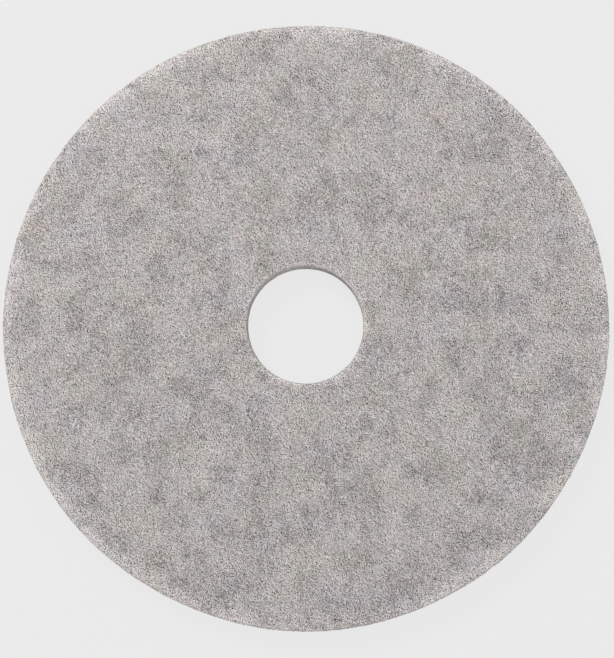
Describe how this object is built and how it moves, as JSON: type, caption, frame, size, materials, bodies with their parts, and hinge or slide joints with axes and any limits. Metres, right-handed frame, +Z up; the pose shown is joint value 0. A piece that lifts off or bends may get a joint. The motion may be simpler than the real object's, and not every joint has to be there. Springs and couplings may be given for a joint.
{
  "type": "floor polishing pad",
  "caption": "Round, thick disc of pale grey non-woven fibre web with a round hole through its centre, for polishing floors.",
  "frame": {"origin": "centre of the underside, on the axis of the centre hole, at floor level", "axes": "+Z up along the hole's axis, from the working side to the driver side"},
  "size_m": [0.4316, 0.4319, 0.025],
  "materials": {
    "fibre_web": "matt, open non-woven web of pale crimped fibres with dark grey hairs"
  },
  "bodies": {
    "root": {"floor_pad": "fibre_web"}
  },
  "joints": []
}
